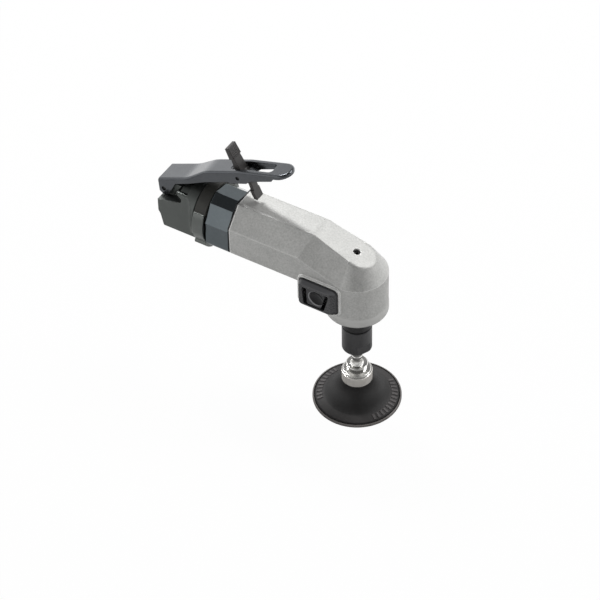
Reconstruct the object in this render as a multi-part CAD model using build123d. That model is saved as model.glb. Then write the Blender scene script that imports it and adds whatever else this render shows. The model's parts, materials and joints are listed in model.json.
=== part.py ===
from build123d import *
import math
import os

# Right angle die grinder with a 2 inch roll-on sanding pad, in millimetres.
# Origin: centre of the disc socket on the pad's working face. +Z runs up the spindle,
# +X points forward, and the barrel runs back along -X.

# Cast motor housing and its angle head
barrel_z = 106.0
barrel_half_width = 18.2
barrel_half_height = 19.0
barrel_flat = 7.55
barrel_low_flat = 10.05
barrel_low_round = 3.2
edge_round = 0.5
bend_round = 10.0
housing_rear_x = -73.7
head_radius = 18.2
head_bottom_z = 74.3
head_band_radius = 18.45
head_band_z = 80.4
head_crease_z = 102.9
head_top_z = 117.1
head_top_half_width = 9.4
head_slope = 0.34
bend_lean = 0.42
bend_middle_z = 104.0
head_middle_z = 95.0
nose_round = 2.8
neck_corner_z = 80.0
neck_corner_round = 4.0
neck_bottom = (11.0, 75.2)
motor_bore = 15.15
gear_bore = 11.05
gear_bore_top_z = 102.0
grease_bore = 2.1

# Motor stack inside the barrel, as stations along X
spigot_front_x = -68.6
rear_plate_x = -68.5
cylinder_rear_x = -62.0
cylinder_front_x = -36.0
plate_front_x = -29.4
pinion_bearing_x = (-24.0, -18.0)
liner_radius = 15.1
liner_bore = 12.1
liner_offset = 1.0
rotor_radius = 10.8
vane_count = 5
vane_depth = 5.3
motor_journal = 4.0
motor_bearing_radius = 8.0
motor_bearing_width = 5.0
locating_radius = 1.0
locating_x = (-65.0, -32.0)
locating_z = barrel_z - 13.2

# Bevel gears, one to one, with their cones meeting on the barrel axis
tooth_count = 16
gear_pitch_radius = 9.0
gear_face = 3.6
tooth_tip = (0.45, 0.9)
tooth_pitch_half = 0.82
tooth_base = (0.95, -0.77)
tooth_root = (0.95, -1.6)
gear_root_depth = 1.2
lock_notch = (3.8, -6.4)
gear_flange_radius = 10.4
gear_flange_z = (88.6, 93.0)

# Spindle, collet and pad
bearing_bore = 5.0
bearing_radius = 11.0
bearing_width = 6.0
spindle_bearing_z = (76.2, 82.2)
nose_radius = 8.85
nose_bottom_z = 60.1
nose_top_z = 73.8
nut_bottom_z = 41.8
nut_top_z = 59.3
nut_flats = 15.4
shank_radius = 3.175
hub_radius = 9.1
hub_z = (16.0, 22.4)
pad_radius = 25.4
pad_lip_radius = 26.5
pad_lip_z = 1.1
pad_edge_z = 1.5
pad_groove_z = 0.8
pad_ring_radius = 19.6
pad_ring_z = 3.2
socket_radius = 4.6
socket_depth = 6.0

# Grip collar, exhaust ring and valve housing behind the barrel
gasket_rear_x = -74.9
collar_rear_x = -90.3
ring_x = (-98.1, -90.8)
ring_radius = 20.2
ring_recess_radius = 19.2
ring_tab_radius = 22.0
ring_bore = 17.05
neck_front_x = -98.5
neck_radius = 18.0
neck_rear_x = -100.9
neck_cove = 5.0
saddle_radius = 16.6
saddle_rear_x = -111.5
block_rear_x = -126.3
block_half_width = 12.6
block_bottom_z = 88.9
block_top_radius = 13.5
tongue_half_width = 6.1
inlet_z = 103.5
inlet_thread_radius = 5.7
inlet_bush_radius = 7.8
inlet_bush_front_x = -112.5
valve_x = -107.0
valve_bore = 4.2
stem_radius = 1.6
stem_top_z = 127.7
seat_z = (107.5, 110.0)
seat_bore = 2.8
spring_seat_z = 94.2
feed_y = 7.2
feed_z = barrel_z + 7.2

# Throttle lever and lock lever, drawn in the released position
lever_pin_x = -124.6
lever_pin_z = 114.4
lever_pin_radius = 1.5
lever_half_width = 8.0
lever_crest_half_width = 6.8
lever_wall = 1.4
lever_edge_round = 1.4
lever_tip_x = -41.0
lock_pin_x = -74.0
lock_pin_z = 143.8
lock_pin_radius = 1.2
lock_half_width = 3.1
thumb_half_width = 3.9
lock_shin_half_width = 2.4

# Spindle lock button on the side of the head
button_centre_x = -13.9
button_centre_z = 91.6
bezel_size = (25.6, 19.2)
bezel_front_size = (21.0, 15.4)
bezel_back_y = -18.2
bezel_front_y = -22.4
boss_size = (27.6, 21.2)
boss_face_y = -19.3
pocket_x = -12.3
pocket_floor_y = -13.2
bezel_front_x = button_centre_x - 0.7
bezel_front_z = button_centre_z - 0.3
flange_y = (-17.9, -16.6)
spring_x = -14.5
spring_well_radius = 2.95
spring_well_y = -11.2
plunger_x = -6.0
plunger_z = 90.9
plunger_radius = 1.6
plunger_tip_y = -10.0

# Running and seating clearances
fit = 0.03
play = 0.3


def turned_z(*points):
    outline = Polyline(*[(r, 0, z) for r, z in points], close=True)
    return revolve(make_face(outline), Axis.Z)


def turned_x(*points):
    outline = Polyline(*[(x, 0, barrel_z + r) for x, r in points], close=True)
    return revolve(make_face(outline), Axis((0, 0, barrel_z), (1, 0, 0)))


def ring_z(outer, inner, bottom, top):
    return turned_z((inner, bottom), (outer, bottom), (outer, top), (inner, top))


def ring_along_x(outer, inner, rear, front):
    return turned_x((rear, inner), (rear, outer), (front, outer), (front, inner))


def rod_x(radius, rear, front, y=0.0, z=barrel_z):
    middle = (rear + front) / 2
    return Pos(middle, y, z) * Rot(0, 90, 0) * Cylinder(radius, front - rear)


def rod_y(radius, x, z, near, far):
    return Pos(x, (near + far) / 2, z) * Rot(90, 0, 0) * Cylinder(radius, far - near)


def rod_z(radius, x, y, bottom, top):
    return Pos(x, y, (bottom + top) / 2) * Cylinder(radius, top - bottom)


def side_plate(points, half_width):
    outline = Polyline(*[(x, 0, z) for x, z in points], close=True)
    return extrude(make_face(outline), half_width, dir=(0, 1, 0), both=True)


def section_plane(x, z=barrel_z):
    return Plane((x, 0, z), x_dir=(0, 1, 0), z_dir=(1, 0, 0))


def barrel_outline(inset=0.0):
    # Octagon with its lower side corners well rounded, about the barrel axis
    width = barrel_half_width - inset
    height = barrel_half_height - inset
    low = barrel_low_flat
    right = [(barrel_flat, height), (width, barrel_flat), (width, -low), (width - height + low, -height)]
    return rounded_section(right, low, barrel_low_round)


def rounded_section(right, low, radius):
    # Mirrors the right-hand corners and rounds the pair that lies "low" below the axis
    left = [(-y, z) for y, z in reversed(right)]
    face = make_face(Polyline(*(right + left), close=True))
    corners = [corner for corner in face.vertices() if abs(corner.Y + low) < 0.01]
    return fillet(corners, radius)


def side_rectangle(centre_x, centre_z, size, corner, y):
    plane = Plane((centre_x, y, centre_z), x_dir=(1, 0, 0), z_dir=(0, -1, 0))
    return plane * RectangleRounded(size[0], size[1], corner)


def side_polygon(points, corner, y):
    # Corners are given from the middle of the spindle lock button
    plane = Plane((button_centre_x, y, button_centre_z), x_dir=(1, 0, 0), z_dir=(0, -1, 0))
    outline = make_face(Polyline(*points, close=True))
    return plane * fillet(outline.vertices(), corner)


def circle_pattern(shape, axis, count):
    return [shape.rotate(axis, 360 * turn / count) for turn in range(count)]


barrel_axis = Axis((0, 0, barrel_z), (1, 0, 0))


def biarc(start, start_dir, end, end_dir):
    chord = end - start
    total = start_dir + end_dir
    spread = 2 * (1 - start_dir.dot(end_dir))
    along = chord.dot(total)
    reach = (math.sqrt(along**2 + spread * chord.dot(chord)) - along) / spread
    joint = (start + end + (start_dir - end_dir) * reach) / 2
    joint_dir = (end - end_dir * reach) - (start + start_dir * reach)
    first = Edge.make_tangent_arc(start, start_dir, joint)
    second = Edge.make_tangent_arc(joint, joint_dir, end)
    return [first, second]


def coil_path(radius, pitch, turns):
    # Helix about +Z from (radius, 0, 0), as quarter turn biarcs
    steps = round(turns * 4)
    rise = pitch / (2 * math.pi)

    def point(step):
        angle = step * math.pi / 2
        return Vector(radius * math.cos(angle), radius * math.sin(angle), rise * angle)

    def heading(step):
        angle = step * math.pi / 2
        return Vector(-radius * math.sin(angle), radius * math.cos(angle), rise).normalized()

    edges = []
    for step in range(steps):
        edges += biarc(point(step), heading(step), point(step + 1), heading(step + 1))
    return edges, point(0), heading(0), point(steps), heading(steps)


def least_gap(edges, wire):
    # Smallest distance between parts of the wire that aren't neighbours along it
    points = []
    travelled = [0.0]
    for edge in edges:
        points += [edge @ (step / 8) for step in range(8)]
    for first, second in zip(points, points[1:]):
        travelled.append(travelled[-1] + (second - first).length)
    gaps = []
    for i, first in enumerate(points):
        for j in range(i + 1, len(points)):
            if travelled[j] - travelled[i] > 4 * wire:
                gaps.append((points[j] - first).length - wire)
    return min(gaps)


def coil(name, radius, pitch, turns, wire, start_leg=0.0, end_leg=0.0):
    edges, start, start_dir, end, end_dir = coil_path(radius, pitch, turns)
    if start_leg:
        edges.insert(0, Edge.make_line(start - start_dir * start_leg, start))
        start = start - start_dir * start_leg
    if end_leg:
        edges.append(Edge.make_line(end, end + end_dir * end_leg))
    print(name, "least gap to itself", round(least_gap(edges, wire), 2), "mm")
    profile = Plane(start, z_dir=start_dir) * Circle(wire / 2)
    return sweep(profile, Wire(edges))


def head_section():
    # Cross-section of the neck where it meets the spindle axis
    low = barrel_z - neck_corner_z
    right = [
        (head_top_half_width, head_top_z - barrel_z),
        (head_radius, head_crease_z - barrel_z),
        (head_radius, -low),
        (neck_bottom[0], neck_bottom[1] - barrel_z),
    ]
    return rounded_section(right, low, neck_corner_round)


def angle_head():
    # Upright cylinder on a low band and under a cone, cut by the sloping top facet
    edge = 0.8
    band_slope = 1.2
    cone_slope = (head_radius - head_top_half_width) / (head_top_z - head_crease_z)
    tip_z = head_top_z + 6.0
    tip_radius = head_top_half_width - cone_slope * (tip_z - head_top_z)
    profile = [
        Line((0, head_bottom_z), (head_band_radius - edge, head_bottom_z)),
        RadiusArc((head_band_radius - edge, head_bottom_z), (head_band_radius, head_bottom_z + edge), -edge),
        Line((head_band_radius, head_bottom_z + edge), (head_band_radius, head_band_z - band_slope)),
        Line((head_band_radius, head_band_z - band_slope), (head_radius, head_band_z)),
        Line((head_radius, head_band_z), (head_radius, head_crease_z)),
        Line((head_radius, head_crease_z), (tip_radius, tip_z)),
        Line((tip_radius, tip_z), (0, tip_z)),
        Line((0, tip_z), (0, head_bottom_z)),
    ]
    head = revolve(Plane.XZ * make_face(profile), Axis.Z)
    reach = 30.0
    rise = head_slope * reach
    above = [
        (-reach, head_top_z + rise),
        (reach, head_top_z - rise),
        (reach, head_top_z + reach),
        (-reach, head_top_z + reach),
    ]
    head = head - side_plate(above, reach)
    facet = head.faces().sort_by(Axis.Z)[-1]
    return fillet(facet.edges(), nose_round)


def barrel_and_neck():
    # The barrel's facets bend down to the head on two leaning planes that meet at mid-side
    top_z = barrel_z + barrel_half_height
    bend_x = -(top_z - head_top_z) / head_slope
    middle = (bend_x - bend_lean * (top_z - bend_middle_z), 0, bend_middle_z)
    prism = extrude(section_plane(housing_rear_x) * barrel_outline(), -housing_rear_x)
    pieces = []
    for keep, lean in ((Keep.TOP, bend_lean), (Keep.BOTTOM, -bend_lean)):
        bend = Plane(middle, x_dir=(0, 1, 0), z_dir=(1, 0, -lean))
        half = split(prism, bisect_by=Plane(middle), keep=keep)
        barrel = split(half, bisect_by=bend, keep=Keep.BOTTOM)
        bend_face = min(barrel.faces(), key=lambda face: abs(bend.to_local_coords(face.center()).Z))
        section = section_plane(0) * head_section()
        head_face = split(section, bisect_by=Plane((0, 0, head_middle_z)), keep=keep)
        pieces += [barrel, loft([bend_face, head_face.face()], ruled=True)]
    body = pieces[0].fuse(*pieces[1:]).clean()
    bend_edge = body.edges().filter_by(Axis.Y).sort_by_distance((bend_x, 0, top_z))[0]
    body = fillet(bend_edge, bend_round)
    long_edges = [edge for edge in body.edges() if edge.bounding_box().size.X > 12]
    upper_edges = [edge for edge in long_edges if edge.bounding_box().min.Z > head_crease_z - 1]
    return fillet(upper_edges, edge_round)


def motor_housing():
    boss_depth = -8.0
    boss_face = side_rectangle(button_centre_x, button_centre_z, boss_size, 3.6, boss_depth)
    boss = extrude(boss_face, boss_depth - boss_face_y)
    body = barrel_and_neck() + angle_head() + boss
    body = body - rod_x(motor_bore, housing_rear_x - 1, plate_front_x)
    body = body - rod_x(gear_bore, plate_front_x - 1, -4.5)
    body = body - rod_z(gear_bore, 0, 0, head_bottom_z - 1, gear_bore_top_z)
    body = body - rod_z(grease_bore, 0, 0, gear_bore_top_z - 1, head_top_z + 5)
    pocket_face = side_rectangle(pocket_x, button_centre_z, (17.4, 15.0), 1.5, boss_face_y - 1)
    body = body - extrude(pocket_face, boss_face_y - 1 - pocket_floor_y)
    seat_size = (bezel_size[0] + 0.1, bezel_size[1] + 0.1)
    seat_face = side_rectangle(button_centre_x, button_centre_z, seat_size, 3.05, boss_face_y - 1)
    body = body - extrude(seat_face, boss_face_y - 1 - bezel_back_y)
    body = body - rod_y(plunger_radius + 0.08, plunger_x, plunger_z, pocket_floor_y - 1, -6.0)
    body = body - rod_y(spring_well_radius, spring_x, button_centre_z, pocket_floor_y - 1, spring_well_y)
    return body


def grease_screw():
    screw = rod_z(grease_bore - fit, 0, 0, 108.0, 115.6)
    socket = Pos(0, 0, 113.2) * extrude(RegularPolygon(1.25, 6), 3)
    return screw - socket


def collar_gasket():
    face = section_plane(gasket_rear_x) * (barrel_outline(0.5) - Circle(motor_bore))
    return extrude(face, housing_rear_x - gasket_rear_x)


def grip_collar():
    # Its upper flats stand a few degrees off the barrel's, as the collar screws up tight
    low = (barrel_half_width, -barrel_low_flat)
    foot = (barrel_half_width - barrel_half_height + barrel_low_flat, -barrel_half_height)
    upper = [(5.3, 17.6), (-5.5, 19.4), (-11.5, 15.5), (-17.9, 4.9)]
    corners = upper + [(-low[0], low[1]), (-foot[0], foot[1]), foot, low, (barrel_half_width, 4.9)]
    face = make_face(Polyline(*corners, close=True))
    collar = extrude(section_plane(collar_rear_x) * face, gasket_rear_x - collar_rear_x)
    long_edges = collar.edges().filter_by(Axis.X)
    low_edges = [edge for edge in long_edges if abs(edge.center().Z - barrel_z + barrel_low_flat) < 0.1]
    collar = fillet(low_edges, barrel_low_round)
    rear_edges = collar.faces().sort_by(Axis.X)[0].edges()
    collar = chamfer(rear_edges, 0.3)
    return collar - rod_x(motor_bore, collar_rear_x - 1, gasket_rear_x + 1)


def exhaust_ring():
    rear, front = ring_x
    rim = 0.3
    ring = turned_x(
        (rear, ring_bore),
        (rear, ring_radius - rim),
        (rear + rim, ring_radius),
        (front - rim, ring_radius),
        (front, ring_radius - rim),
        (front, ring_bore),
    )
    middle = (rear + front) / 2
    shaved = ring_along_x(ring_radius + 1, ring_recess_radius, rear - 1, front + 1)
    over_top = [(0, 0), (-40, 23.1), (-40, 50), (40, 50), (40, 23.1)]
    wedge = extrude(section_plane(rear - 1) * make_face(Polyline(*over_top, close=True)), front - rear + 2)
    ring = ring - (shaved & wedge)
    ends = [edge for edge in ring.edges().filter_by(Axis.X) if edge.length > 5]
    outer_ends = [edge for edge in ends if math.hypot((edge @ 0.5).Y, (edge @ 0.5).Z - barrel_z) > 20]
    ring = fillet(outer_ends, 0.7)
    tab_width, tab_angle = 11.0, -42
    tab = Pos(middle, 0, barrel_z - ring_bore - 1.5) * Box(front - rear, tab_width, 20)
    tab = tab & ring_along_x(ring_tab_radius, ring_bore + 1, rear, front)
    tab = chamfer(tab.edges().filter_by(Axis.X).group_by(Axis.Z)[0], 0.9).rotate(barrel_axis, tab_angle)
    slot = Pos(middle, 0, barrel_z - ring_radius) * Box(3.4, 2.6, 12.0)
    slots = [slot.rotate(barrel_axis, angle) for angle in (16, 30, 44, 58)]
    return ring + tab - slots


def neck_coves():
    # Hollow fillets that flare the block's sides and its top and bottom out to the neck's rim
    bend = neck_cove * (1 - math.sqrt(0.5))
    reach = 30.0

    def cove(low):
        high = low + neck_cove
        rear_x = neck_rear_x - neck_cove
        outline = [
            Line((neck_rear_x, 0), (neck_rear_x, high)),
            ThreePointArc((neck_rear_x, high), (neck_rear_x - bend, low + bend), (rear_x, low)),
            Line((rear_x, low), (rear_x, 0)),
            Line((rear_x, 0), (neck_rear_x, 0)),
        ]
        return make_face(outline)

    side_cove = extrude(Pos(0, 0, barrel_z) * cove(block_half_width), reach, both=True)
    upright = Plane((0, 0, barrel_z), x_dir=(1, 0, 0), z_dir=(0, -1, 0))
    top_cove = extrude(upright * cove(block_top_radius), reach, both=True)
    top_cove = top_cove & Box(300, 2 * block_half_width, 300)
    coves = side_cove + side_cove.mirror(Plane.XZ) + top_cove
    coves = split(coves, bisect_by=Plane((0, 0, block_bottom_z)), keep=Keep.TOP)
    return coves & rod_x(neck_radius, neck_rear_x - neck_cove, neck_rear_x)


def rear_housing():
    height = barrel_z + block_top_radius - block_bottom_z
    middle_z = block_bottom_z + height / 2
    plane = section_plane(block_rear_x, middle_z)
    block_face = plane * RectangleRounded(2 * block_half_width, height, 2.0)
    block = extrude(block_face, neck_front_x - block_rear_x)
    neck = turned_x(
        (neck_rear_x, 0),
        (neck_rear_x, neck_radius),
        (neck_front_x - 0.9, neck_radius),
        (neck_front_x, ring_bore),
        (neck_front_x, 0),
    )
    saddle = rod_x(saddle_radius, saddle_rear_x, neck_rear_x) & Box(300, 2 * block_half_width, 300)
    saddle = split(saddle, bisect_by=Plane((0, 0, barrel_z)), keep=Keep.TOP)
    body = block + neck + neck_coves() + saddle
    # Rear chamfers, below and above
    body = body - side_plate([(-128, 88), (-128, 100.6), (-126.3, 100.6), (-125, 98.4), (-122.7, 88)], 30)
    body = body - side_plate([(-127, 121), (-127, 117), (-125.4, 118.4), (-121, 119.0), (-119, 121)], 30)
    # Steps on both sides that take the lever's ears
    corner = (-109.4, 113.2)
    front = [corner, (-109.7, 116.2), (-113.6, 119.6), (-113.6, 130)]
    step = side_plate([(-127, 109.2), (-123.4, 109.6)] + front + [(-127, 130)], 30)
    corner_edge = step.edges().filter_by(Axis.Y).sort_by_distance((corner[0], 0, corner[1]))[0]
    step = fillet(corner_edge, 2.4)
    body = body - (step - Box(300, 2 * tongue_half_width, 300))
    body = body - rod_y(lever_pin_radius + fit, lever_pin_x, lever_pin_z, -20, 20)
    # Threaded spigot with the sleeve that carries the exhaust ring
    sleeve = rod_x(ring_bore - 0.05, neck_front_x, collar_rear_x)
    spigot = rod_x(motor_bore - 0.05, collar_rear_x, spigot_front_x)
    body = body + sleeve + spigot
    body = body - rod_x(12.5, neck_front_x + 2, spigot_front_x + 1)
    port = rod_z(1.7, (ring_x[0] + ring_x[1]) / 2, 0, barrel_z, barrel_z + 30)
    body = body - circle_pattern(port, barrel_axis, 8)
    # Air way: inlet bore, valve chamber and feed bore
    body = body - rod_x(inlet_bush_radius, block_rear_x - 1, inlet_bush_front_x, z=inlet_z)
    body = body - rod_x(3.8, inlet_bush_front_x - 1, valve_x, z=inlet_z)
    body = body - rod_z(valve_bore, valve_x, 0, block_bottom_z - 1, seat_z[0])
    body = body - rod_z(seat_bore, valve_x, 0, seat_z[0] - 1, seat_z[1] + 1)
    body = body - rod_z(valve_bore, valve_x, 0, seat_z[1], barrel_z + neck_radius + 1)
    body = body - rod_y(2.0, valve_x, feed_z, 0, feed_y)
    body = body - rod_x(2.25, valve_x, neck_front_x + 3, y=feed_y, z=feed_z)
    return body


def inlet_bushing():
    bush = rod_x(inlet_bush_radius - fit, block_rear_x, inlet_bush_front_x, z=inlet_z)
    bush = bush - rod_x(inlet_thread_radius, block_rear_x - 1, inlet_bush_front_x - 1.2, z=inlet_z)
    bush = bush - rod_x(4.4, block_rear_x, inlet_bush_front_x + 1, z=inlet_z)
    mouth = Pos(block_rear_x, 0, inlet_z) * Rot(0, 90, 0) * Cone(7.2, inlet_thread_radius, 2.4)
    return bush - mouth


def inlet_screen():
    screen = rod_x(4.3, inlet_bush_front_x - 1.1, inlet_bush_front_x - 0.3, z=inlet_z)
    holes = [rod_x(0.55, -120, -100, y=0, z=inlet_z)]
    for radius, count in ((1.6, 6), (3.1, 10)):
        hole = rod_x(0.55, -120, -100, y=radius, z=inlet_z)
        holes += circle_pattern(hole, Axis((0, 0, inlet_z), (1, 0, 0)), count)
    return screen - holes


def lever_pin():
    return rod_y(lever_pin_radius, lever_pin_x, lever_pin_z, -7.3, 7.3)


def valve_bush():
    bottom, top = 115.6, barrel_z + block_top_radius - 0.4
    bush = rod_z(valve_bore - fit, valve_x, 0, bottom, top)
    return bush - rod_z(stem_radius + 0.08, valve_x, 0, bottom - 1, top + 1)


def valve_stem():
    stem = rod_z(stem_radius, valve_x, 0, 104.0, stem_top_z - stem_radius)
    dome = Pos(valve_x, 0, stem_top_z - stem_radius) * Sphere(stem_radius)
    head = rod_z(3.4, valve_x, 0, 103.5, 106.4)
    return stem + dome + head


def valve_seal():
    return Pos(valve_x, 0, 0) * ring_z(3.6, stem_radius + fit, 106.4, seat_z[0] - 0.1)


def valve_cap():
    cap = rod_z(valve_bore - fit, valve_x, 0, block_bottom_z, spring_seat_z)
    socket = Pos(valve_x, 0, block_bottom_z) * extrude(RegularPolygon(2.2, 6), 1.8)
    return cap - socket


def valve_spring():
    wire = 0.7
    wound = coil("valve spring", 2.6, 2.82, 3.0, wire)
    return Pos(valve_x, 0, spring_seat_z + wire / 2 + 0.05) * wound


def feed_tube():
    tube = rod_x(2.2, neck_front_x - 2.0, spigot_front_x, y=feed_y, z=feed_z)
    return tube - rod_x(1.5, neck_front_x - 3, spigot_front_x + 1, y=feed_y, z=feed_z)


def exhaust_muffler():
    tube = ring_along_x(12.4, 9.9, neck_front_x + 2.3, collar_rear_x + 5.6)
    return tube - rod_x(2.5, -120, -60, y=feed_y, z=feed_z)


def rear_end_plate():
    plate = ring_along_x(liner_radius, 4.6, rear_plate_x, cylinder_rear_x)
    seat_front = rear_plate_x + motor_bearing_width + 0.1
    plate = plate - rod_x(motor_bearing_radius + fit, rear_plate_x - 1, seat_front)
    plate = plate - rod_x(1.5, -80, -50, y=feed_y, z=feed_z)
    return plate - locating_hole()


def front_end_plate():
    plate = ring_along_x(liner_radius, 4.6, cylinder_front_x, plate_front_x)
    seat_rear = plate_front_x - motor_bearing_width - 0.1
    plate = plate - rod_x(motor_bearing_radius + fit, seat_rear, plate_front_x + 1)
    return plate - locating_hole()


def locating_hole():
    return rod_x(locating_radius + fit, *locating_x, z=locating_z)


def locating_pin():
    return rod_x(locating_radius, *locating_x, z=locating_z)


def motor_cylinder():
    liner = rod_x(liner_radius, cylinder_rear_x, cylinder_front_x)
    liner = liner - rod_x(liner_bore, cylinder_rear_x - 1, cylinder_front_x + 1, z=barrel_z + liner_offset)
    port = rod_y(1.4, 0, barrel_z, 0, 20)
    ports = [Pos(x, 0, 0) * port for x in (-56, -52.5, -49, -45.5, -42)]
    return liner - ports - locating_hole()


def rotor_slot(width, depth, rear, front):
    centre_r = rotor_radius - depth / 2
    return Pos((rear + front) / 2, 0, barrel_z + centre_r) * Box(front - rear, width, depth)


def rotor():
    rear, front = cylinder_rear_x + 0.4, cylinder_front_x - 0.4
    body = turned_x(
        (rear_plate_x + 0.3, 0),
        (rear_plate_x + 0.3, motor_journal),
        (rear, motor_journal),
        (rear, rotor_radius),
        (front, rotor_radius),
        (front, motor_journal),
        (plate_front_x - 0.2, motor_journal),
        (plate_front_x - 0.2, 2.95),
        (-16.0, 2.95),
        (-16.0, 0),
    )
    slot = rotor_slot(1.6, vane_depth + 0.3, rear - 1, front + 1)
    slot = slot + Pos(0, 0, 0.5) * slot
    return body - circle_pattern(slot, barrel_axis, vane_count)


def rotor_vanes():
    vane = rotor_slot(1.5, vane_depth, cylinder_rear_x + 0.45, cylinder_front_x - 0.45)
    return Compound(children=circle_pattern(vane, barrel_axis, vane_count))


def race_profiles(bore, outer, rear, front):
    # Shielded bearing: outer race with its two shields, and plain inner race
    inner_top = bore + (outer - bore) * 0.33
    outer_low = outer - (outer - bore) * 0.3
    shield = 0.5
    lip = inner_top + play
    outer_race = [
        (rear, outer),
        (front, outer),
        (front, lip),
        (front - shield, lip),
        (front - shield, outer_low),
        (rear + shield, outer_low),
        (rear + shield, lip),
        (rear, lip),
    ]
    inner_race = [(rear, bore), (front, bore), (front, inner_top), (rear, inner_top)]
    return outer_race, inner_race


motor_bearings = [
    race_profiles(motor_journal + fit, motor_bearing_radius, rear, rear + motor_bearing_width)
    for rear in (rear_plate_x + 0.1, plate_front_x - motor_bearing_width - 0.1)
]
pinion_bearing = race_profiles(bearing_bore + fit, bearing_radius, *pinion_bearing_x)
spindle_bearings = [
    race_profiles(bearing_bore + fit, bearing_radius, z, z + bearing_width - 0.05)
    for z in spindle_bearing_z
]


def races_x(profiles):
    return Compound(children=[turned_x(*profile) for profile in profiles])


def races_z(profiles):
    return Compound(children=[turned_z(*[(r, z) for z, r in profile]) for profile in profiles])


def pinion_spacer():
    return ring_along_x(bearing_radius, 9.4, plate_front_x + 0.05, pinion_bearing_x[0] - 0.05)


def bevel_teeth(first_angle):
    # Teeth about -Z below an apex at the origin, tapering to it
    outer_distance = gear_pitch_radius * math.sqrt(2)
    inner_scale = (outer_distance - gear_face) / outer_distance
    half = [tooth_root, tooth_base, (tooth_pitch_half, 0.0), tooth_tip]
    profile = [(-w, n) for w, n in half] + [(w, n) for w, n in reversed(half)]
    slant = math.sqrt(0.5)

    def tooth_wire(scale):
        points = []
        for width, height in profile:
            r = gear_pitch_radius + height * slant
            z = height * slant - gear_pitch_radius
            points.append((r * scale, width * scale, z * scale))
        return Wire.make_polygon(points, close=True)

    tooth = Solid.make_loft([tooth_wire(inner_scale), tooth_wire(1.0)], ruled=True)
    tooth = tooth.rotate(Axis.Z, first_angle)
    return circle_pattern(tooth, Axis.Z, tooth_count), inner_scale


def bevel_blank(inner_scale):
    root = gear_root_depth * math.sqrt(0.5)
    outer = (gear_pitch_radius - root, -gear_pitch_radius - root)
    inner = (outer[0] * inner_scale, outer[1] * inner_scale)
    back = (outer[0] - 0.75, outer[1] - 0.75)
    return inner, outer, back


def bevel_gear():
    teeth, inner_scale = bevel_teeth(180.0)
    inner, outer, back = bevel_blank(inner_scale)
    bottom, top = gear_flange_z[0] - barrel_z, gear_flange_z[1] - barrel_z
    bore = 4.5 + fit
    blank = turned_z(
        (bore, inner[1]),
        inner,
        outer,
        back,
        (back[0], top),
        (gear_flange_radius, top),
        (gear_flange_radius, bottom),
        (bore, bottom),
    )
    width, floor_y = lock_notch
    notch = Pos(plunger_x, floor_y - 4, (bottom + top) / 2) * Box(width, 8, 6)
    gear = blank.fuse(*teeth).cut(*circle_pattern(notch, Axis.Z, 4))
    return Pos(0, 0, barrel_z) * gear


def bevel_pinion():
    half_pitch = 180 / tooth_count
    teeth, inner_scale = bevel_teeth(half_pitch)
    inner, outer, back = bevel_blank(inner_scale)
    shoulder, rear, socket = -pinion_bearing_x[1] - 0.05, 25.0, 15.0
    blank = turned_z(
        (0, inner[1]),
        inner,
        outer,
        back,
        (back[0], -shoulder),
        (bearing_bore, -shoulder),
        (bearing_bore, -rear),
        (3.0, -rear),
        (3.0, -socket),
        (0, -socket),
    )
    pinion = blank.fuse(*teeth)
    return Pos(0, 0, barrel_z) * Rot(0, 90, 0) * pinion


def gear_screw():
    head = turned_z((0, 99.0), (3.6, 99.0), (3.6, 100.2), (2.6, 101.2), (0, 101.2))
    shank = rod_z(2.0 - fit, 0, 0, 91.0, 99.0)
    socket = Pos(0, 0, 100.0) * extrude(RegularPolygon(1.3, 6), 2)
    return head + shank - socket


def spindle():
    body = turned_z(
        (4.9, 47.0),
        (6.4, 47.0),
        (6.4, nose_bottom_z),
        (nose_radius - 0.5, nose_bottom_z),
        (nose_radius, nose_bottom_z + 0.5),
        (nose_radius, nose_top_z - 0.8),
        (nose_radius - 0.8, nose_top_z),
        (6.6, nose_top_z),
        (6.6, spindle_bearing_z[0] - 0.02),
        (bearing_bore, spindle_bearing_z[0] - 0.02),
        (bearing_bore, gear_flange_z[0] - 0.02),
        (4.5, gear_flange_z[0] - 0.02),
        (4.5, 98.9),
        (2.0, 98.9),
        (2.0, 90.0),
        (0, 90.0),
        (0, 66.0),
        (3.5, 66.0),
        (3.5, 62.0),
        (3.9, 62.0),
    )
    return body


def bearing_retainer():
    ring = ring_z(bearing_radius, 8.0, head_bottom_z, spindle_bearing_z[0] - 0.05)
    pin_hole = rod_z(0.8, 9.5, 0, head_bottom_z - 1, head_bottom_z + 1.0)
    return ring - circle_pattern(pin_hole, Axis.Z, 4)


def dust_seal():
    return ring_z(7.95, 6.6 + fit, nose_top_z + 0.2, spindle_bearing_z[0] - 0.1)


def collet():
    cone = turned_z(
        (shank_radius + fit, 44.6),
        (4.2, 44.6),
        (5.6, 46.8),
        (4.85, 47.0),
        (3.86, 61.8),
        (shank_radius + fit, 61.8),
    )
    slit = Pos(0, 0, 50.0) * Box(30, 0.8, 14)
    return cone - slit - slit.rotate(Axis.Z, 90)


def collet_nut():
    nut = turned_z(
        (3.5, nut_bottom_z),
        (nose_radius - 0.7, nut_bottom_z),
        (nose_radius, nut_bottom_z + 0.7),
        (nose_radius, nut_top_z - 0.4),
        (nose_radius - 0.4, nut_top_z),
        (6.45, nut_top_z),
        (6.45, 47.0),
        (5.75, 46.9),
        (4.3, 44.5),
        (3.5, 44.5),
    )
    flat_length = 7.0
    cheek = Box(30, 10, 2 * flat_length)
    cheek = (Pos(0, nut_flats / 2 + 5, nut_bottom_z) * cheek).rotate(Axis.Z, 62)
    return nut - cheek - cheek.rotate(Axis.Z, 180)


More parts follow.
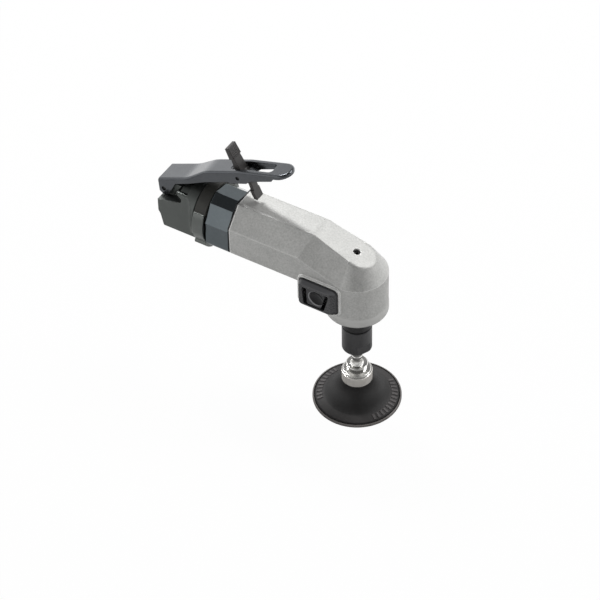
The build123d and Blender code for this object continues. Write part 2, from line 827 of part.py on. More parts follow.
def pad_mandrel():
    low, high = hub_z
    bead_radius = 3.45
    return turned_z(
        (0, 7.05),
        (5.0, 7.05),
        (5.0, low),
        (hub_radius, low),
        (hub_radius, high - 0.3),
        (hub_radius - 0.3, high),
        (8.2, high),
        (8.2, high + 0.9),
        (7.9, high + 1.2),
        (5.8, high + 1.2),
        (6.5, high + 5.2),
        (6.1, high + 5.6),
        (4.0, high + 5.6),
        (3.2, high + 6.5),
        (2.8, high + 8.1),
        (2.8, high + 9.7),
        (bead_radius, high + 10.3),
        (bead_radius, high + 12.2),
        (shank_radius, high + 12.6),
        (shank_radius, 60.4),
        (shank_radius - 0.6, 61.0),
        (0, 61.0),
    )


def backing_pad():
    low = hub_z[0] - 0.02
    profile = [
        Line((8.0 + fit, 0), (pad_lip_radius, 0)),
        Line((pad_lip_radius, 0), (pad_lip_radius, pad_lip_z)),
        Line((pad_lip_radius, pad_lip_z), (pad_radius + 0.3, pad_edge_z)),
        Line((pad_radius + 0.3, pad_edge_z), (pad_radius, pad_groove_z)),
        Line((pad_radius, pad_groove_z), (pad_radius - 0.5, pad_edge_z + 0.15)),
        Line((pad_radius - 0.5, pad_edge_z + 0.15), (pad_ring_radius, pad_ring_z)),
        ThreePointArc((pad_ring_radius, pad_ring_z), (13.2, 7.5), (9.7, 14.2)),
        Line((9.7, 14.2), (9.4, low)),
        Line((9.4, low), (5.0 + fit, low)),
        Line((5.0 + fit, low), (5.0 + fit, 7.0)),
        Line((5.0 + fit, 7.0), (8.0 + fit, 7.0)),
        Line((8.0 + fit, 7.0), (8.0 + fit, 0)),
    ]
    return revolve(Plane.XZ * make_face(profile), Axis.Z)


def disc_insert():
    return turned_z(
        (socket_radius, 0.0),
        (8.0, 0.0),
        (8.0, 7.0),
        (0, 7.0),
        (0, socket_depth),
        (socket_radius, socket_depth),
    )


def lock_bezel():
    base = side_rectangle(button_centre_x, button_centre_z, bezel_size, 3.0, bezel_back_y)
    front = side_rectangle(bezel_front_x, bezel_front_z, bezel_front_size, 2.0, bezel_front_y)
    rim = extrude(base, 1.0)
    step = side_rectangle(button_centre_x, button_centre_z, bezel_size, 3.0, bezel_back_y - 1.0)
    body = rim + loft([step, front], ruled=True)
    window = side_polygon([(-9.3, 5.6), (-8.3, -7.0), (5.2, -7.0), (8.6, 5.6)], 1.0, bezel_back_y + 1)
    return body - extrude(window, 8)


def lock_button():
    front, back = flange_y
    cap_front = bezel_front_y + 0.5
    cap_back = front + 0.5
    flange_face = side_rectangle(pocket_x, button_centre_z, (16.8, 14.2), 1.2, back)
    flange = extrude(flange_face, back - front)
    cap_face = side_polygon([(-6.6, 5.2), (-6.1, -6.6), (3.0, -6.6), (6.1, 5.2)], 1.2, cap_back)
    cap = extrude(cap_face, cap_back - cap_front)
    dish_radius = 11.0
    dish_depth = 1.2
    dish = Pos(button_centre_x, cap_front - dish_radius + dish_depth, button_centre_z) * Sphere(dish_radius)
    return flange + cap - dish


def lock_plunger():
    pin = rod_y(plunger_radius, plunger_x, plunger_z, flange_y[1], plunger_tip_y)
    return chamfer(pin.faces().sort_by(Axis.Y)[-1].edges(), 0.3)


def button_spring():
    wound = coil("button spring", 2.4, 1.46, 3.0, 0.5)
    return Pos(spring_x, spring_well_y - 0.3, button_centre_z) * Rot(90, 0, 0) * wound


def lever_plan(inset):
    # Outline from above: wide at the hinge, narrower past the ramp, round at the paddle
    rear = lever_half_width - inset
    crest = lever_crest_half_width - inset
    tip_centre = lever_tip_x - lever_crest_half_width
    near = [(-131, -rear), (-108.6, -rear), (-97.5, -crest), (tip_centre, -crest)]
    far = [(x, -y) for x, y in near]
    near_side = FilletPolyline(*near, radius=12.0)
    far_side = FilletPolyline(*far, radius=12.0)
    paddle = ThreePointArc(near[-1], (tip_centre + crest, 0), far[-1])
    back = Line(far[0], near[0])
    outline = make_face(near_side.edges() + [paddle] + far_side.edges() + [back])
    return extrude(Pos(0, 0, 90) * outline, 90)


def lever_shell():
    # Solid lever between its rounded crown and the lower edge of its flanges
    crown = [(-128.4, 120.4), (-108.6, 129.3), (-96.6, 138.9), (-72.0, 149.6), (-40.0, 159.8)]
    ear = 4.3
    flange = [
        (-40.0, 157.2),
        (-50.0, 153.9),
        (-51.2, 151.8),
        (-65.6, 145.2),
        (-68.0, 142.6),
        (-79.4, 137.8),
        (-80.6, 138.2),
        (-94.8, 131.7),
        (-103.5, 127.4),
        (-116.4, 121.5),
        (lever_pin_x + ear * 0.87, lever_pin_z - ear * 0.5),
        (lever_pin_x + ear * 0.5, lever_pin_z - ear * 0.87),
        (lever_pin_x - ear * 0.2, lever_pin_z - ear),
        (lever_pin_x - ear * 0.72, lever_pin_z - ear * 0.6),
    ]
    upper = FilletPolyline(*crown, radius=30.0)
    lower = Polyline(crown[-1], *flange, crown[0])
    side = Plane.XZ * make_face(upper.edges() + lower.edges())
    shell = extrude(side, lever_half_width, both=True) & lever_plan(0.0)
    rims = []
    for face in shell.faces():
        if face.normal_at(face.center()).Z > 0.3 and face.center().Z > crown[0][1]:
            rims += [edge for edge in face.edges() if abs((edge @ 0.5).Y) > 5 or (edge @ 0.5).X > -48]
    return fillet(rims, lever_edge_round)


def throttle_lever():
    channel = [
        (-132.0, 116.8),
        (-108.2, 127.4),
        (-96.2, 137.0),
        (-71.6, 147.7),
        (-52.5, 153.9),
        (-52.5, 120.0),
        (-132.0, 90.0),
    ]
    lever = lever_shell() - (side_plate(channel, lever_half_width) & lever_plan(lever_wall))
    window_rear, window_front = -80.8, -53.0
    window_face = RectangleRounded(window_front - window_rear, 7.8, 2.4)
    lever = lever - extrude(Pos((window_rear + window_front) / 2, 0, 125) * window_face, 50)
    lever = lever - rod_y(lever_pin_radius + 0.05, lever_pin_x, lever_pin_z, -20, 20)
    return lever - rod_y(lock_pin_radius + fit, lock_pin_x, lock_pin_z, -20, 20)


def lock_pin():
    reach = lever_crest_half_width - 0.7
    return rod_y(lock_pin_radius, lock_pin_x, lock_pin_z, -reach, reach)


def lock_lever():
    hub = rod_y(2.7, lock_pin_x, lock_pin_z, -lock_half_width, lock_half_width)
    thumb = [(-83.4, 159.6), (-81.5, 160.5), (-77.8, 154.2), (-80.6, 152.8)]
    upper = [(-80.2, 153.2), (-78.0, 154.0), (-72.6, 145.4), (-76.4, 142.6)]
    shin = [(-75.2, 141.4), (-72.4, 145.6), (-67.4, 139.4), (-65.4, 133.6), (-67.6, 133.4), (-69.4, 138.8)]
    foot = [(-68.1, 134.6), (-65.9, 135.0), (-63.4, 129.4), (-65.6, 129.4)]
    lever = hub + side_plate(upper, lock_half_width) + side_plate(thumb, thumb_half_width)
    lever = lever + side_plate(shin, lock_shin_half_width) + side_plate(foot, lock_half_width)
    return lever - rod_y(lock_pin_radius + 0.05, lock_pin_x, lock_pin_z, -20, 20)


def lock_spring():
    wound = coil("lock spring", 1.7, 0.98, 1.25, 0.5, start_leg=5.0, end_leg=1.8)
    turned = Rot(90, 0, 0) * wound
    return Pos(lock_pin_x, -3.75, lock_pin_z) * turned


parts = {
    "motor_housing": motor_housing(),
    "grease_screw": grease_screw(),
    "collar_gasket": collar_gasket(),
    "grip_collar": grip_collar(),
    "exhaust_ring": exhaust_ring(),
    "rear_housing": rear_housing(),
    "inlet_bushing": inlet_bushing(),
    "inlet_screen": inlet_screen(),
    "lever_pin": lever_pin(),
    "valve_bush": valve_bush(),
    "valve_stem": valve_stem(),
    "valve_seal": valve_seal(),
    "valve_cap": valve_cap(),
    "valve_spring": valve_spring(),
    "feed_tube": feed_tube(),
    "exhaust_muffler": exhaust_muffler(),
    "rear_end_plate": rear_end_plate(),
    "front_end_plate": front_end_plate(),
    "locating_pin": locating_pin(),
    "motor_cylinder": motor_cylinder(),
    "rotor": rotor(),
    "rotor_vanes": rotor_vanes(),
    "motor_bearing_outer": races_x([outer for outer, inner in motor_bearings]),
    "motor_bearing_inner": races_x([inner for outer, inner in motor_bearings]),
    "pinion_bearing_outer": races_x([pinion_bearing[0]]),
    "pinion_bearing_inner": races_x([pinion_bearing[1]]),
    "spindle_bearing_outer": races_z([outer for outer, inner in spindle_bearings]),
    "spindle_bearing_inner": races_z([inner for outer, inner in spindle_bearings]),
    "pinion_spacer": pinion_spacer(),
    "bevel_gear": bevel_gear(),
    "bevel_pinion": bevel_pinion(),
    "gear_screw": gear_screw(),
    "spindle": spindle(),
    "bearing_retainer": bearing_retainer(),
    "dust_seal": dust_seal(),
    "collet": collet(),
    "collet_nut": collet_nut(),
    "pad_mandrel": pad_mandrel(),
    "backing_pad": backing_pad(),
    "disc_insert": disc_insert(),
    "lock_bezel": lock_bezel(),
    "lock_button": lock_button(),
    "lock_plunger": lock_plunger(),
    "button_spring": button_spring(),
    "throttle_lever": throttle_lever(),
    "lock_pin": lock_pin(),
    "lock_lever": lock_lever(),
    "lock_spring": lock_spring(),
}

os.makedirs("parts", exist_ok=True)
for name, shape in parts.items():
    export_step(shape, f"parts/{name}.step")
print("pieces written:", len(parts))
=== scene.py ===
import json
import math

import bmesh
import bpy
from mathutils import Matrix, Vector


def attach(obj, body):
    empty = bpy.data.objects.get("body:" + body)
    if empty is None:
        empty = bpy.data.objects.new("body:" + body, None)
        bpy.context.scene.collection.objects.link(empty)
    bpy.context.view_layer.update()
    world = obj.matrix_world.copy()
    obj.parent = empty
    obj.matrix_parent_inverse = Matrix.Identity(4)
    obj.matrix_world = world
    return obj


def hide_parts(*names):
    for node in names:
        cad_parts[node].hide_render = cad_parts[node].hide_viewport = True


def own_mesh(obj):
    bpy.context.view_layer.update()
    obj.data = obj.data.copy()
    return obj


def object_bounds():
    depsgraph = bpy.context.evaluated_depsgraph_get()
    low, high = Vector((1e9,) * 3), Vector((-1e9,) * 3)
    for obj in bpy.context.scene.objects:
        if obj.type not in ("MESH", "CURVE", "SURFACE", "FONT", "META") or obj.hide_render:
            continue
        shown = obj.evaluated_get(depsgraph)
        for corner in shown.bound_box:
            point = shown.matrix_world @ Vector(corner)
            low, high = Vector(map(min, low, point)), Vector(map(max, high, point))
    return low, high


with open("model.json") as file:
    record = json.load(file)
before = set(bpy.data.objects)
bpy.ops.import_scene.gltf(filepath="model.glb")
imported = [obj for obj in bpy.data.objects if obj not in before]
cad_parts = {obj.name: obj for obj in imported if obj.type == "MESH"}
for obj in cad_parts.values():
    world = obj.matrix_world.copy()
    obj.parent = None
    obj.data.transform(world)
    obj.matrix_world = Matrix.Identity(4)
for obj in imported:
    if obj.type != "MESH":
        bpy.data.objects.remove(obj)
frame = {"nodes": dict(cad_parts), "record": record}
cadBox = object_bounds()
nodes = frame["nodes"]
mm = 0.001


def hexToLinear(code):
    channels = [int(code[i:i + 2], 16) / 255 for i in (1, 3, 5)]
    linear = [c / 12.92 if c <= 0.04045 else ((c + 0.055) / 1.055) ** 2.4 for c in channels]
    return (*linear, 1.0)


def blankTree(owner):
    owner.use_nodes = True
    owner.node_tree.nodes.clear()
    return owner.node_tree


def addNode(tree, kind, values=None, links=None, **settings):
    # sockets go by name, or by number on a Mix node: 0 its share, 2 and 3 two numbers, 6 and 7 two colours
    node = tree.nodes.new(kind)
    for name, value in settings.items():
        setattr(node, name, value)
    for socket, value in (values or {}).items():
        node.inputs[socket].default_value = value
    for socket, source in (links or {}).items():
        tree.links.new(source, node.inputs[socket])
    return node


def startMaterial(name):
    material = bpy.data.materials.new(name)
    tree = blankTree(material)
    shader = addNode(tree, "ShaderNodeBsdfPrincipled")
    addNode(tree, "ShaderNodeOutputMaterial", links={"Surface": shader.outputs["BSDF"]})
    place = addNode(tree, "ShaderNodeTexCoord").outputs["Object"]
    return material, tree, shader, place


surface = {
    # noise that every finish shares: octaves, falloff, and the part of its range that tone and gloss span
    "mottleDetail": 3.0,
    "mottleFalloff": 0.6,
    "grainDetail": 2.0,
    "grainFalloff": 0.55,
    "toneRange": (0.32, 0.68),
    "glossRange": (0.3, 0.7),
    "edgeSamples": 8,
    # what a finish has where its own settings don't say
    "grainShare": 0.5,
    "specular": 0.5,
}


def finishMaterial(name, look):
    # Two tones mottled by soft noise, a finer grain in gloss and relief, softened edges, and where a look
    # asks, a painted edge highlight and zones of a second finish or of painted highlight and shade
    material, tree, shader, place = startMaterial(name)
    mottle = addNode(
        tree, "ShaderNodeTexNoise",
        {
            "Scale": 1 / (look["mottleMm"] * mm),
            "Detail": surface["mottleDetail"],
            "Roughness": surface["mottleFalloff"],
        },
        {"Vector": place},
    ).outputs["Fac"]
    grain = addNode(
        tree, "ShaderNodeTexNoise",
        {
            "Scale": 1 / (look["grainMm"] * mm),
            "Detail": surface["grainDetail"],
            "Roughness": surface["grainFalloff"],
        },
        {"Vector": place},
    ).outputs["Fac"]
    share = addNode(
        tree, "ShaderNodeMix",
        {0: look.get("grainShare", surface["grainShare"])},
        {2: mottle, 3: grain},
        data_type="FLOAT",
    )
    low, high = surface["toneRange"]
    spread = addNode(
        tree, "ShaderNodeMapRange", {"From Min": low, "From Max": high}, {"Value": share.outputs[0]}
    )
    tone = addNode(
        tree, "ShaderNodeMix",
        {6: hexToLinear(look["dark"]), 7: hexToLinear(look["light"])},
        {0: spread.outputs[0]},
        data_type="RGBA",
    ).outputs[2]
    low, high = surface["glossRange"]
    gloss = addNode(
        tree, "ShaderNodeMapRange",
        {"From Min": low, "From Max": high, "To Min": look["smooth"], "To Max": look["rough"]},
        {"Value": grain},
    ).outputs[0]
    soft = addNode(
        tree, "ShaderNodeBevel", {"Radius": look["edgeMm"] * mm}, samples=surface["edgeSamples"]
    ).outputs["Normal"]
    if "edge" in look:
        # painted highlight along the edges, where the softened normal turns away from the surface
        flat = addNode(tree, "ShaderNodeNewGeometry").outputs["Normal"]
        turn = addNode(tree, "ShaderNodeVectorMath", links={0: soft, 1: flat}, operation="DOT_PRODUCT")
        low, high = look["edgeTurn"]
        edgeShine = addNode(
            tree, "ShaderNodeMapRange",
            {"From Min": low, "From Max": high, "To Min": 1.0, "To Max": 0.0},
            {"Value": turn.outputs["Value"]},
        )
        tone = addNode(
            tree, "ShaderNodeMix",
            {7: hexToLinear(look["edge"])},
            {0: edgeShine.outputs[0], 6: tone},
            data_type="RGBA",
        ).outputs[2]
    zones = look.get("zones", ())
    metallic = look["metallic"]
    for zone in zones:
        tone, gloss, metallic = zoneFinishAndPaintedLight(tree, place, zone, tone, gloss, metallic)
    relief = addNode(
        tree, "ShaderNodeBump",
        {"Strength": look["relief"], "Distance": look["reliefMm"] * mm},
        {"Height": grain, "Normal": soft},
    )
    tree.links.new(tone, shader.inputs["Base Color"])
    tree.links.new(gloss, shader.inputs["Roughness"])
    tree.links.new(relief.outputs["Normal"], shader.inputs["Normal"])
    if any("metallic" in zone for zone in zones):
        tree.links.new(metallic, shader.inputs["Metallic"])
    else:
        shader.inputs["Metallic"].default_value = metallic
    shader.inputs["Specular IOR Level"].default_value = look.get("specular", surface["specular"])
    return material


def zoneFinishAndPaintedLight(tree, place, zone, tone, gloss, metallic):
    # A second finish over part of a piece, also used for painted highlights and painted shade: past a
    # distance from a plane or axis, or above two slopes
    away = addNode(
        tree, "ShaderNodeVectorMath",
        {1: [-c * mm for c in zone["centreMm"]]},
        {0: place},
        operation="ADD",
    ).outputs["Vector"]
    if "stretch" in zone:
        away = addNode(
            tree, "ShaderNodeVectorMath", {1: zone["stretch"]}, {0: away}, operation="MULTIPLY"
        ).outputs["Vector"]
        field = addNode(
            tree, "ShaderNodeVectorMath", links={0: away}, operation="LENGTH"
        ).outputs["Value"]
    else:
        parts = addNode(tree, "ShaderNodeSeparateXYZ", links={0: away})
        side = addNode(tree, "ShaderNodeMath", links={0: parts.outputs["Y"]}, operation="ABSOLUTE")
        field = addNode(
            tree, "ShaderNodeMath",
            {1: -zone["slope"]},
            {0: side.outputs[0], 2: parts.outputs["Z"]},
            operation="MULTIPLY_ADD",
        ).outputs[0]
    inside = addNode(
        tree, "ShaderNodeMapRange",
        {"From Min": zone["fromMm"] * mm, "From Max": zone["toMm"] * mm},
        {"Value": field},
    ).outputs[0]
    tone = addNode(
        tree, "ShaderNodeMix", {7: hexToLinear(zone["tone"])}, {0: inside, 6: tone}, data_type="RGBA"
    ).outputs[2]
    gloss = addNode(
        tree, "ShaderNodeMix", {3: zone["roughness"]}, {0: inside, 2: gloss}, data_type="FLOAT"
    ).outputs[0]
    if "metallic" in zone:
        metallic = addNode(
            tree, "ShaderNodeMix", {2: metallic, 3: zone["metallic"]}, {0: inside}, data_type="FLOAT"
        ).outputs[0]
    return tone, gloss, metallic


finishes = {
    # grit, pores and moulded texture of 0.05 to 0.3 mm would be too fine to show, so grainMm is coarser
    # vapour blasted casting: bare metal, pale and dull, with a painted highlight along its edges;
    # the head's foot is turned and has less grain
    "castAluminium": dict(
        dark="#a3a3a1", light="#c0c0be", mottleMm=7.0, grainMm=1.0, grainShare=0.75, metallic=1.0,
        # edge colour: a painted highlight along the rounded edges
        smooth=0.5, rough=0.6, relief=0.28, reliefMm=0.1, edgeMm=1.3, edge="#e2e2e0", edgeTurn=(0.95, 0.99),
        zones=[dict(
            centreMm=(0, 0, 0), stretch=(0, 0, 1), fromMm=80.6, toMm=80.3, tone="#b8b8b6", roughness=0.5,
        )],
    ),
    # hard anodised aluminium, polished before dyeing: a dark mirror
    "blackAnodised": dict(
        dark="#565c5f", light="#5e6467", mottleMm=9.0, grainMm=1.4, metallic=1.0, smooth=0.12, rough=0.16,
        relief=0.01, reliefMm=0.03, edgeMm=0.35,
    ),
    # dark grey metallic enamel, stoved on a die casting: satin, a little orange peel
    "greyEnamel": dict(
        dark="#575a58", light="#5f6260", mottleMm=9.0, grainMm=1.6, metallic=1.0, smooth=0.42, rough=0.5,
        relief=0.02, reliefMm=0.05, edgeMm=0.5,
    ),
    # the same enamel on pressed steel sheet, glossier
    "leverEnamel": dict(
        dark="#525457", light="#5a5c5f", mottleMm=9.0, grainMm=1.5, metallic=1.0, smooth=0.19, rough=0.25,
        relief=0.02, reliefMm=0.05, edgeMm=0.4,
    ),
    # black enamel worn matt by the thumb
    "lockEnamel": dict(
        dark="#272524", light="#383534", mottleMm=3.0, grainMm=0.8, metallic=0.0, smooth=0.4, rough=0.6,
        relief=0.3, reliefMm=0.1, edgeMm=0.4,
    ),
    # nylon ring with a metallic coat: satin where it is gripped, bare and spark textured above
    "ringNylon": dict(
        dark="#626563", light="#6a6d6b", mottleMm=5.0, grainMm=1.2, metallic=1.0, smooth=0.3, rough=0.38,
        relief=0.03, reliefMm=0.06, edgeMm=0.5,
        zones=[dict(
            centreMm=(0, 0, 106), slope=0.5775, fromMm=-0.3, toMm=0.3, tone="#2e2e2a",
            roughness=0.62, metallic=0.0,
        )],
    ),
    # steel with black oxide, oiled: charcoal, faintly blotched
    "blackOxide": dict(
        dark="#3a3a3b", light="#464647", mottleMm=2.5, grainMm=0.9, metallic=0.4, smooth=0.32, rough=0.44,
        relief=0.08, reliefMm=0.06, edgeMm=0.3,
    ),
    # the spindle's nose, oxide under fresh oil: nearly black
    "oiledOxide": dict(
        dark="#111112", light="#18181a", mottleMm=2.5, grainMm=0.9, metallic=0.2, smooth=0.3, rough=0.42,
        relief=0.06, reliefMm=0.06, edgeMm=0.3,
    ),
    # bright nickel over turned steel; the plain hub below is left satin
    "brightNickel": dict(
        dark="#cfcecb", light="#e2e1de", mottleMm=4.0, grainMm=0.7, metallic=1.0, smooth=0.14, rough=0.2,
        relief=0.01, reliefMm=0.03, edgeMm=0.3,
        zones=[dict(
            centreMm=(0, 0, 0), stretch=(0, 0, 1), fromMm=22.35, toMm=22.2, tone="#e6e2dc",
            roughness=0.36, metallic=0.5,
        )],
    ),
    # ground bearing and tool steel: light grey, with a soft shine
    "groundSteel": dict(
        dark="#8f8f8e", light="#a9a9a7", mottleMm=3.0, grainMm=0.6, metallic=1.0, smooth=0.25, rough=0.38,
        relief=0.05, reliefMm=0.03, edgeMm=0.2,
    ),
    # drawn spring wire: mid grey, shining along its turns
    "springWire": dict(
        dark="#77787a", light="#8f9092", mottleMm=1.5, grainMm=0.5, metallic=1.0, smooth=0.25, rough=0.4,
        relief=0.05, reliefMm=0.02, edgeMm=0.1,
    ),
    # turned free cutting brass: warm yellow, with a soft shine
    "turnedBrass": dict(
        dark="#b08a45", light="#c9a55c", mottleMm=2.5, grainMm=0.6, metallic=1.0, smooth=0.22, rough=0.36,
        relief=0.05, reliefMm=0.03, edgeMm=0.2,
    ),
    # moulded nitrile backing pad: matt black, with a painted sheen on the ring of its marks, a darker band
    # of painted shade outside it, and a painted highlight along its lip
    "padRubber": dict(
        dark="#141313", light="#1c1b1b", mottleMm=5.0, grainMm=0.9, metallic=0.0, smooth=0.42, rough=0.58,
        relief=0.1, reliefMm=0.08, edgeMm=0.4, specular=0.35,
        zones=[
            # painted sheen: the ring that carries the marks, lighter from about 19 mm out
            dict(
                centreMm=(0, 0, 0), stretch=(1, 1, 0), fromMm=18.8, toMm=21.0, tone="#2f2d2d",
                roughness=0.55,
            ),
            # painted shade: a dark band just inside the lip, from about 24.5 mm out
            dict(
                centreMm=(0, 0, 0), stretch=(1, 1, 0), fromMm=24.2, toMm=24.5, tone="#121111",
                roughness=0.6,
            ),
            # painted highlight: the lip paler grey from about 25.7 mm out
            dict(
                centreMm=(0, 0, 0), stretch=(1, 1, 0), fromMm=25.5, toMm=25.7, tone="#6c6866",
                roughness=0.5,
            ),
        ],
    ),
    # the pad's raised marks, rubbed a little greyer than the rubber round them
    "rubbedRubber": dict(
        dark="#3c3939", light="#474343", mottleMm=3.0, grainMm=0.8, metallic=0.0, smooth=0.42, rough=0.55,
        relief=0.08, reliefMm=0.06, edgeMm=0.2,
    ),
    # moulded nitrile of the thin seals: matt, nearly black
    "sealRubber": dict(
        dark="#161616", light="#202020", mottleMm=2.0, grainMm=0.7, metallic=0.0, smooth=0.45, rough=0.6,
        relief=0.1, reliefMm=0.05, edgeMm=0.2,
    ),
    # black acetal, polished mould: the button, with a painted sheen on its face and a painted highlight
    # along the dish's lower rim
    "blackAcetal": dict(
        dark="#0e0e10", light="#151517", mottleMm=4.0, grainMm=1.0, metallic=0.0, smooth=0.06, rough=0.1,
        relief=0.02, reliefMm=0.05, edgeMm=0.5, specular=0.2,
        zones=[
            # painted highlight: pale past the dish's rim, showing only as a crescent along its lower rim
            dict(
                centreMm=(-13.5, 0, 92.0), stretch=(1, 0, 1), fromMm=4.8, toMm=5.2, tone="#868688",
                roughness=0.3,
            ),
            # painted sheen: the flat face round the dish, greyer than the dish
            dict(
                centreMm=(-13.9, 0, 91.6), stretch=(1, 0, 1), fromMm=5.1, toMm=5.4, tone="#39393b",
                roughness=0.2,
            ),
        ],
    ),
    # the frame round the button, the same resin from a satin mould: charcoal, with a painted highlight over
    # its top and painted shade along its foot at the boss
    "satinAcetal": dict(
        dark="#29292b", light="#313133", mottleMm=4.0, grainMm=1.0, metallic=0.0, smooth=0.24, rough=0.32,
        relief=0.04, reliefMm=0.05, edgeMm=0.6,
        zones=[
            # painted highlight: the frame lighter above its top edge
            dict(
                centreMm=(0, 0, 0), stretch=(0, 0, 1), fromMm=98.5, toMm=99.1, tone="#565658",
                roughness=0.3,
            ),
            # painted shade: the frame's foot, next to the boss, darker
            dict(
                centreMm=(0, 0, 0), stretch=(0, 1, 0), fromMm=20.4, toMm=19.9, tone="#141416",
                roughness=0.5,
            ),
        ],
    ),
    # cotton phenolic laminate, sawn: brown, flecked and dull
    "phenolic": dict(
        dark="#6d4526", light="#8a5d35", mottleMm=1.6, grainMm=0.5, metallic=0.0, smooth=0.45, rough=0.6,
        relief=0.15, reliefMm=0.05, edgeMm=0.1,
    ),
    # pressed wool felt: pale, uneven and quite matt
    "woolFelt": dict(
        dark="#a09784", light="#bdb5a3", mottleMm=1.8, grainMm=0.4, metallic=0.0, smooth=0.85, rough=0.95,
        relief=0.6, reliefMm=0.2, edgeMm=0.2,
    ),
}

slotFinish = {
    # the finish of each material slot
    "cast_aluminium": "castAluminium",
    "black_paint": "blackAnodised",
    "grey_paint": "greyEnamel",
    "lever_paint": "leverEnamel",
    "lock_paint": "lockEnamel",
    "ring_polymer": "ringNylon",
    "black_oxide": "blackOxide",
    "bright_steel": "brightNickel",
    "plain_steel": "groundSteel",
    "spring_steel": "springWire",
    "turned_brass": "turnedBrass",
    "pad_rubber": "padRubber",
    "seal_rubber": "sealRubber",
    "black_plastic": "blackAcetal",
    "phenolic": "phenolic",
    "felt": "woolFelt",
}
ownFinish = {
    # pieces that differ from the rest of their slot
    "spindle": "oiledOxide",
    "lever_pin": "oiledOxide",
    "lock_pin": "oiledOxide",
    "valve_bush": "blackOxide",
    "lock_bezel": "satinAcetal",
}

materials = {name: finishMaterial(name, look) for name, look in finishes.items()}

for entry in frame["record"]["subparts"]:
    piece = nodes[entry["node"]]
    finish = ownFinish.get(entry["node"], slotFinish[entry["material_slot"]])
    piece.data.materials.clear()
    piece.data.materials.append(materials[finish])
print("materials:", len(materials), "finishes on", len(nodes), "pieces")


def addPiece(name, mesh, finish, body):
    mesh.materials.append(materials[finish])
    piece = bpy.data.objects.new(name, mesh)
    bpy.context.scene.collection.objects.link(piece)
    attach(piece, body)
    return piece


def joinRings(build, low, high):
    for i in range(len(low)):
        j = (i + 1) % len(low)
        build.faces.new((low[i], low[j], high[j], high[i]))


def meshOf(build, name):
    mesh = bpy.data.meshes.new(name)
    build.to_mesh(mesh)
    build.free()
    return mesh


padMarks = {
    # plain raised bars round the pad's cone, in two groups, as (first, last, count) in degrees
    "arcs": ((-33.0, 56.0, 13), (156.0, 222.0, 10)),
    "innerMm": (20.6, 2.907),
    "outerMm": (24.2, 1.852),
    "halfWidthMm": 0.8,
    "topHalfWidthMm": 0.6,
    "heightMm": 0.34,
    "shoulderMm": 0.204,
    "sunkMm": 0.25,
    "endSlopeMm": 0.25,
}


def addPadMarks():
    mark = padMarks
    (innerR, innerZ), (outerR, outerZ) = mark["innerMm"], mark["outerMm"]
    slope = (outerZ - innerZ) / (outerR - innerR)
    build = bmesh.new()
    for first, last, count in mark["arcs"]:
        for step in range(count):
            turn = Matrix.Rotation(math.radians(first + (last - first) * step / (count - 1)), 4, "Z")
            loops = []
            for half, lift, trim in (
                (mark["halfWidthMm"], -mark["sunkMm"], 0.0),
                (mark["halfWidthMm"], mark["shoulderMm"], 0.0),
                (mark["topHalfWidthMm"], mark["heightMm"], mark["endSlopeMm"]),
            ):
                ring = []
                near, far = innerR + trim, outerR - trim
                for r, side in ((near, -1), (far, -1), (far, 1), (near, 1)):
                    z = innerZ + slope * (r - innerR) + lift
                    ring.append(build.verts.new(turn @ Vector((r, side * half, z)) * mm))
                loops.append(ring)
            for low, high in zip(loops, loops[1:]):
                joinRings(build, low, high)
            build.faces.new(loops[-1])
            build.faces.new(list(reversed(loops[0])))
    addPiece("padMarks", meshOf(build, "padMarks"), "rubbedRubber", "spindle")


thumbGrip = {
    # half round ridges across the thumb face of the lock lever
    "topMm": (-81.25, 160.0),
    "footMm": (-78.05, 154.6),
    "ridges": 6,
    "halfLengthMm": 3.6,
    "radiusMm": 0.34,
    "sides": 10,
}


def addThumbGrip():
    grip = thumbGrip
    (topX, topZ), (footX, footZ) = grip["topMm"], grip["footMm"]
    build = bmesh.new()
    for step in range(grip["ridges"]):
        along = step / (grip["ridges"] - 1)
        centre = Vector((topX + (footX - topX) * along, 0.0, topZ + (footZ - topZ) * along))
        ends = []
        for side in (-1, 1):
            ring = []
            for corner in range(grip["sides"]):
                angle = 2 * math.pi * corner / grip["sides"]
                offset = Vector((math.cos(angle), 0.0, math.sin(angle))) * grip["radiusMm"]
                reach = Vector((0.0, side * grip["halfLengthMm"], 0.0))
                ring.append(build.verts.new((centre + offset + reach) * mm))
            ends.append(ring)
        joinRings(build, ends[0], ends[1])
        build.faces.new(ends[0])
        build.faces.new(list(reversed(ends[1])))
    bmesh.ops.recalc_face_normals(build, faces=build.faces)
    addPiece("thumbGrip", meshOf(build, "thumbGrip"), "lockEnamel", "lock_lever")


threads = {
    # quarter inch taper thread of the air inlet, drawn parallel
    "inletThread": dict(
        startMm=(-125.0, 0.0, 103.5), axis="X", lengthMm=11.0, radiusMm=5.68, depthMm=0.55, pitchMm=1.41,
        finish="groundSteel", slot="plain_steel", body="housing",
    ),
    # quick change socket of the disc, coarse so that one turn seats it
    "socketThread": dict(
        startMm=(0.0, 0.0, 0.5), axis="Z", lengthMm=5.2, radiusMm=4.58, depthMm=0.5, pitchMm=1.6,
        finish="groundSteel", slot="plain_steel", body="spindle",
    ),
}
threadShape = {
    # steps in a turn, half the foot as a share of the pitch, and the height left where the ridge fades
    "steps": 40,
    "footShare": 0.42,
    "leastMm": 0.01,
}


